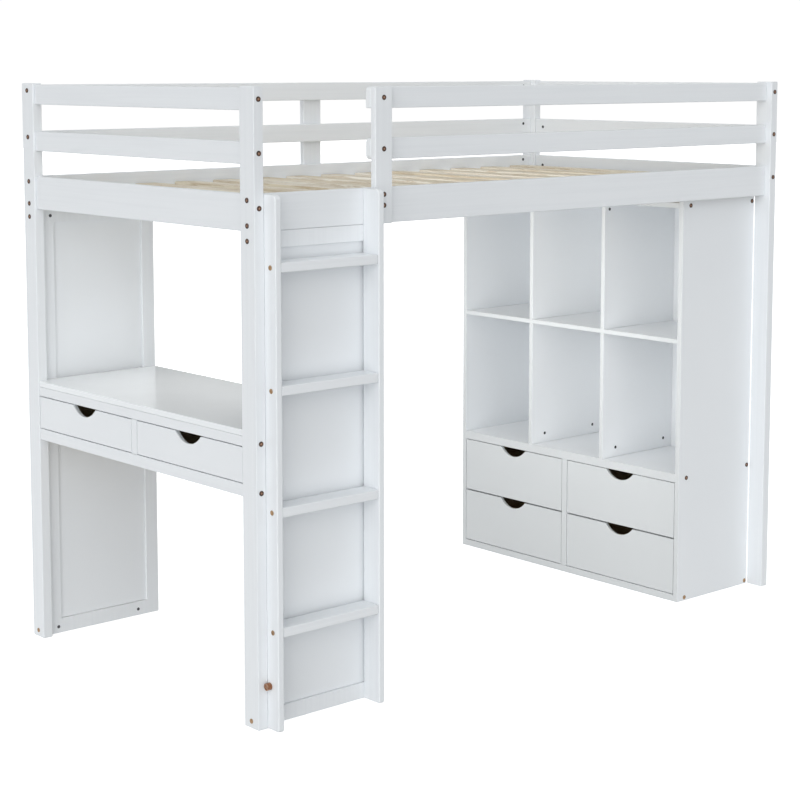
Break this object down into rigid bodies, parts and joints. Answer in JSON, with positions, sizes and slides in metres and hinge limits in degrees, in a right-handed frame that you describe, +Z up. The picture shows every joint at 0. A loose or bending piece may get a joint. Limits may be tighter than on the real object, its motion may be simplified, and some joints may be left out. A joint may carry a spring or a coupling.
{
  "type": "loft bed with desk",
  "caption": "White loft bed on flat posts with slatted base, guard rails and ladder, over a desk with drawers at one end and a bookcase with cubbies and drawers at the other.",
  "frame": {"origin": "centre of the overall box on the floor, ladder included", "axes": "+X along the bed from the desk end to the bookcase end, +Y across it from the ladder side to the back, +Z up"},
  "size_m": [2.02, 1.124, 1.592],
  "materials": {
    "white_paint": "satin white paint on wood",
    "gloss_paint": "glossy white lacquer on the desk top",
    "pine": "planed natural pine, unfinished",
    "plywood": "plain plywood of the drawer trays and the desk's drawer floor",
    "bronze_hardware": "dark bronze bolt heads and barrel nuts"
  },
  "bodies": {
    "bed_frame": {"back_guard_mid": "white_paint", "back_guard_top": "white_paint", "back_guard_upright": "white_paint", "back_side_rail": "white_paint", "bookcase_back": "white_paint", "bookcase_base": "white_paint", "bookcase_deck": "white_paint", "bookcase_divider_1": "white_paint", "bookcase_divider_2": "white_paint", "bookcase_drawer_divider": "white_paint", "bookcase_shelf": "white_paint", "bookcase_side_back": "white_paint", "bookcase_side_front": "white_paint", "bookcase_top": "white_paint", "desk_apron": "white_paint", "desk_back": "white_paint", "desk_divider": "white_paint", "desk_end_bed_rail": "white_paint", "desk_end_guard_mid": "white_paint", "desk_end_guard_top": "white_paint", "desk_floor": "plywood", "desk_lower_rail": "white_paint", "desk_top": "gloss_paint", "front_guard_mid": "white_paint", "front_guard_top": "white_paint", "front_guard_upright": "white_paint", "front_side_rail": "white_paint", "ladder_rung_1": "white_paint", "ladder_rung_2": "white_paint", "ladder_rung_3": "white_paint", "ladder_rung_4": "white_paint", "ladder_stile_inner": "white_paint", "ladder_stile_outer": "white_paint", "panel_frame_back": "white_paint", "panel_frame_front": "white_paint", "panel_infill_back": "white_paint", "panel_infill_front": "white_paint", "post_desk_back": "white_paint", "post_desk_front": "white_paint", "post_shelf_back": "white_paint", "post_shelf_front": "white_paint", "shelf_end_bed_rail": "white_paint", "shelf_end_guard_mid": "white_paint", "shelf_end_guard_top": "white_paint", "slat_ledger_back": "pine", "slat_ledger_front": "pine", "slat_roll_desk_end": "pine", "slat_roll_shelf_end": "pine"},
    "desk_drawer_1": {"desk_drawer_1_face": "white_paint", "desk_drawer_1_tray": "plywood"},
    "desk_drawer_2": {"desk_drawer_2_face": "white_paint", "desk_drawer_2_tray": "plywood"},
    "bookcase_drawer_lower_1": {"bookcase_drawer_lower_1_face": "white_paint", "bookcase_drawer_lower_1_tray": "plywood"},
    "bookcase_drawer_lower_2": {"bookcase_drawer_lower_2_face": "white_paint", "bookcase_drawer_lower_2_tray": "plywood"},
    "bookcase_drawer_upper_1": {"bookcase_drawer_upper_1_face": "white_paint", "bookcase_drawer_upper_1_tray": "plywood"},
    "bookcase_drawer_upper_2": {"bookcase_drawer_upper_2_face": "white_paint", "bookcase_drawer_upper_2_tray": "plywood"}
  },
  "joints": [
    {"name": "desk_drawer_1_slide", "type": "slide", "parent": "bed_frame", "child": "desk_drawer_1", "axis": [-1, 0, 0], "range_m": [0, 0.26]},
    {"name": "desk_drawer_2_slide", "type": "slide", "parent": "bed_frame", "child": "desk_drawer_2", "axis": [-1, 0, 0], "range_m": [0, 0.26]},
    {"name": "bookcase_drawer_lower_1_slide", "type": "slide", "parent": "bed_frame", "child": "bookcase_drawer_lower_1", "axis": [-1, 0, 0], "range_m": [0, 0.22]},
    {"name": "bookcase_drawer_lower_2_slide", "type": "slide", "parent": "bed_frame", "child": "bookcase_drawer_lower_2", "axis": [-1, 0, 0], "range_m": [0, 0.22]},
    {"name": "bookcase_drawer_upper_1_slide", "type": "slide", "parent": "bed_frame", "child": "bookcase_drawer_upper_1", "axis": [-1, 0, 0], "range_m": [0, 0.22]},
    {"name": "bookcase_drawer_upper_2_slide", "type": "slide", "parent": "bed_frame", "child": "bookcase_drawer_upper_2", "axis": [-1, 0, 0], "range_m": [0, 0.22]}
  ]
}
